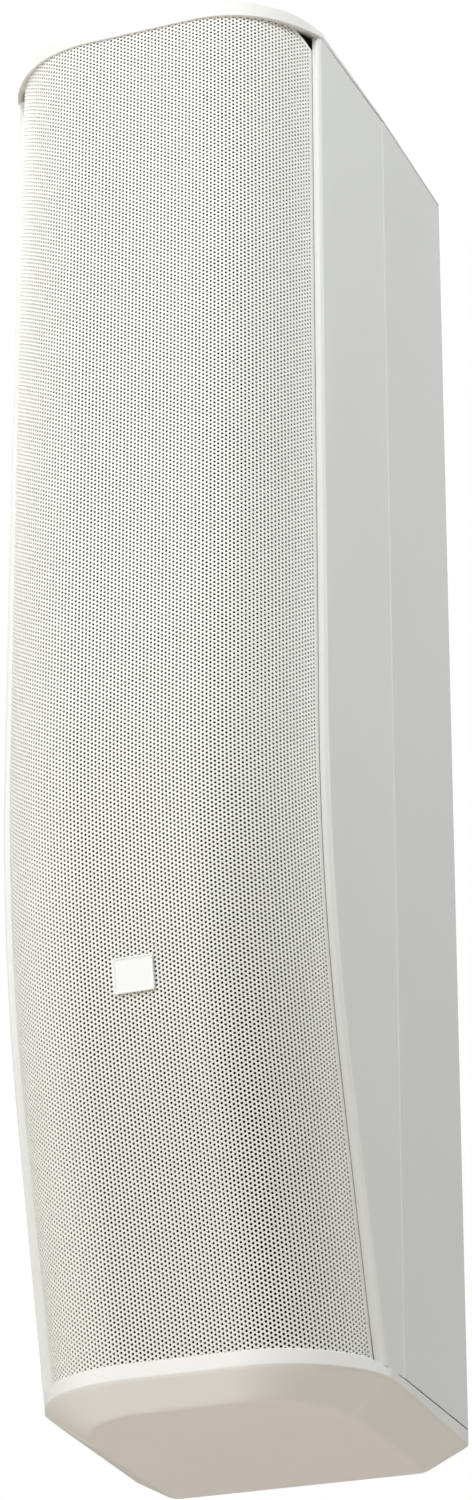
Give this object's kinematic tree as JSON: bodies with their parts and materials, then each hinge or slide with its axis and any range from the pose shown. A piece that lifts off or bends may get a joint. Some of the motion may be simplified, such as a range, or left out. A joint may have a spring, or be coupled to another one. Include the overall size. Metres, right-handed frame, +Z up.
{
  "type": "line array speaker",
  "caption": "Tall white column line array loudspeaker with a perforated grille that curves back at the foot, rounded shoulders, bevelled end caps and a recessed input panel behind.",
  "frame": {"origin": "middle of the underside of the box around the cabinet, on the surface that it stands on", "axes": "+Z up, -Y out of the grille, +X to the right when facing the grille"},
  "size_m": [0.2446, 0.308, 1.002],
  "materials": {
    "shell_paint": "satin off-white paint over a moulded shell",
    "cap_paint": "satin off-white paint",
    "gasket_foam": "closed-cell foam",
    "white_screw": "white coated steel",
    "black_board": "black stained panel",
    "dark_screw": "black oxide steel",
    "grille_paint": "off-white powder coat on perforated steel",
    "black_foam": "open-cell acoustic foam",
    "badge_white": "blank white plate",
    "wadding": "polyester wadding",
    "green_board": "glass epoxy board",
    "network_metal": "coils, capacitors and resistors",
    "wire_cover": "sleeved wires",
    "panel_grey": "dark textured moulding",
    "black_plastic": "black moulding",
    "bright_screw": "nickel plated steel",
    "knob_black": "black knob",
    "switch_body": "switch housing",
    "insert_brass": "brass insert",
    "motor_steel": "zinc plated steel and ferrite",
    "brace_wood": "birch plywood",
    "basket_black": "cast basket, black",
    "surround_rubber": "butyl rubber and doped cloth",
    "cone_paper": "coated paper",
    "dome_fabric": "coated silk"
  },
  "bodies": {
    "cabinet": {"cabinet_shell": "shell_paint", "top_cap": "cap_paint", "bottom_cap": "cap_paint", "top_cap_gasket": "gasket_foam", "bottom_cap_gasket": "gasket_foam", "cap_screws": "white_screw", "baffle": "black_board", "baffle_screws": "dark_screw", "front_grille": "grille_paint", "grille_foam": "black_foam", "badge_plate": "badge_white", "damping_wadding": "wadding", "network_board": "green_board", "network_parts": "network_metal", "wiring_harness": "wire_cover", "input_panel": "panel_grey", "input_panel_gasket": "gasket_foam", "panel_screws": "dark_screw", "terminal_block": "black_plastic", "terminal_screws": "bright_screw", "coverage_switch_body": "switch_body", "voicing_switch_body": "switch_body", "threaded_inserts": "insert_brass", "woofer_screws": "dark_screw", "tweeter_strip": "black_plastic", "tweeter_motors": "motor_steel", "upper_brace": "brace_wood", "lower_brace": "brace_wood", "woofer_frame_1": "basket_black", "woofer_motor_1": "motor_steel", "woofer_suspension_1": "surround_rubber", "woofer_frame_2": "basket_black", "woofer_motor_2": "motor_steel", "woofer_suspension_2": "surround_rubber", "woofer_frame_3": "basket_black", "woofer_motor_3": "motor_steel", "woofer_suspension_3": "surround_rubber", "woofer_frame_4": "basket_black", "woofer_motor_4": "motor_steel", "woofer_suspension_4": "surround_rubber", "woofer_frame_5": "basket_black", "woofer_motor_5": "motor_steel", "woofer_suspension_5": "surround_rubber", "woofer_frame_6": "basket_black", "woofer_motor_6": "motor_steel", "woofer_suspension_6": "surround_rubber"},
    "cone_1": {"woofer_cone_1": "cone_paper"},
    "domes_1": {"tweeter_domes_1": "dome_fabric"},
    "cone_2": {"woofer_cone_2": "cone_paper"},
    "domes_2": {"tweeter_domes_2": "dome_fabric"},
    "cone_3": {"woofer_cone_3": "cone_paper"},
    "domes_3": {"tweeter_domes_3": "dome_fabric"},
    "cone_4": {"woofer_cone_4": "cone_paper"},
    "domes_4": {"tweeter_domes_4": "dome_fabric"},
    "cone_5": {"woofer_cone_5": "cone_paper"},
    "domes_5": {"tweeter_domes_5": "dome_fabric"},
    "cone_6": {"woofer_cone_6": "cone_paper"},
    "domes_6": {"tweeter_domes_6": "dome_fabric"},
    "knob": {"coverage_knob": "knob_black"},
    "slider": {"voicing_slider": "knob_black"}
  },
  "joints": [
    {"name": "cone_slide_1", "type": "slide", "parent": "cabinet", "child": "cone_1", "axis": [0, -1, 0], "range_m": [-0.0045, 0.0045], "stiffness_N_per_m": 1500, "deforming": ["woofer_suspension_1"]},
    {"name": "dome_slide_1", "type": "slide", "parent": "cabinet", "child": "domes_1", "axis": [0, -1, 0], "range_m": [-0.0004, 0.0004], "stiffness_N_per_m": 400},
    {"name": "cone_slide_2", "type": "slide", "parent": "cabinet", "child": "cone_2", "axis": [0, -1, 0], "range_m": [-0.0045, 0.0045], "stiffness_N_per_m": 1500, "deforming": ["woofer_suspension_2"]},
    {"name": "dome_slide_2", "type": "slide", "parent": "cabinet", "child": "domes_2", "axis": [0, -1, 0], "range_m": [-0.0004, 0.0004], "stiffness_N_per_m": 400},
    {"name": "cone_slide_3", "type": "slide", "parent": "cabinet", "child": "cone_3", "axis": [0, -1, 0], "range_m": [-0.0045, 0.0045], "stiffness_N_per_m": 1500, "deforming": ["woofer_suspension_3"]},
    {"name": "dome_slide_3", "type": "slide", "parent": "cabinet", "child": "domes_3", "axis": [0, -1, 0], "range_m": [-0.0004, 0.0004], "stiffness_N_per_m": 400},
    {"name": "cone_slide_4", "type": "slide", "parent": "cabinet", "child": "cone_4", "axis": [0, -0.9995, -0.0307], "range_m": [-0.0045, 0.0045], "stiffness_N_per_m": 1500, "deforming": ["woofer_suspension_4"]},
    {"name": "dome_slide_4", "type": "slide", "parent": "cabinet", "child": "domes_4", "axis": [0, -0.9995, -0.0307], "range_m": [-0.0004, 0.0004], "stiffness_N_per_m": 400},
    {"name": "cone_slide_5", "type": "slide", "parent": "cabinet", "child": "cone_5", "axis": [0, -0.9784, -0.2069], "range_m": [-0.0045, 0.0045], "stiffness_N_per_m": 1500, "deforming": ["woofer_suspension_5"]},
    {"name": "dome_slide_5", "type": "slide", "parent": "cabinet", "child": "domes_5", "axis": [0, -0.9784, -0.2069], "range_m": [-0.0004, 0.0004], "stiffness_N_per_m": 400},
    {"name": "cone_slide_6", "type": "slide", "parent": "cabinet", "child": "cone_6", "axis": [0, -0.9563, -0.2924], "range_m": [-0.0045, 0.0045], "stiffness_N_per_m": 1500, "deforming": ["woofer_suspension_6"]},
    {"name": "dome_slide_6", "type": "slide", "parent": "cabinet", "child": "domes_6", "axis": [0, -0.9563, -0.2924], "range_m": [-0.0004, 0.0004], "stiffness_N_per_m": 400},
    {"name": "coverage_turn", "type": "hinge", "parent": "cabinet", "child": "knob", "pos_m": [-0.024, 0.1283, 0.132], "axis": [0, 1, 0], "range_deg": [0, 90]},
    {"name": "voicing_slide", "type": "slide", "parent": "cabinet", "child": "slider", "axis": [1, 0, 0], "range_m": [0, 0.004]}
  ],
  "couplings": [
    {"joint": "cone_slide_2", "follows": "cone_slide_1", "ratio": 1},
    {"joint": "dome_slide_2", "follows": "dome_slide_1", "ratio": 1},
    {"joint": "cone_slide_3", "follows": "cone_slide_1", "ratio": 1},
    {"joint": "dome_slide_3", "follows": "dome_slide_1", "ratio": 1},
    {"joint": "cone_slide_4", "follows": "cone_slide_1", "ratio": 1},
    {"joint": "dome_slide_4", "follows": "dome_slide_1", "ratio": 1},
    {"joint": "cone_slide_5", "follows": "cone_slide_1", "ratio": 1},
    {"joint": "dome_slide_5", "follows": "dome_slide_1", "ratio": 1},
    {"joint": "cone_slide_6", "follows": "cone_slide_1", "ratio": 1},
    {"joint": "dome_slide_6", "follows": "dome_slide_1", "ratio": 1}
  ]
}
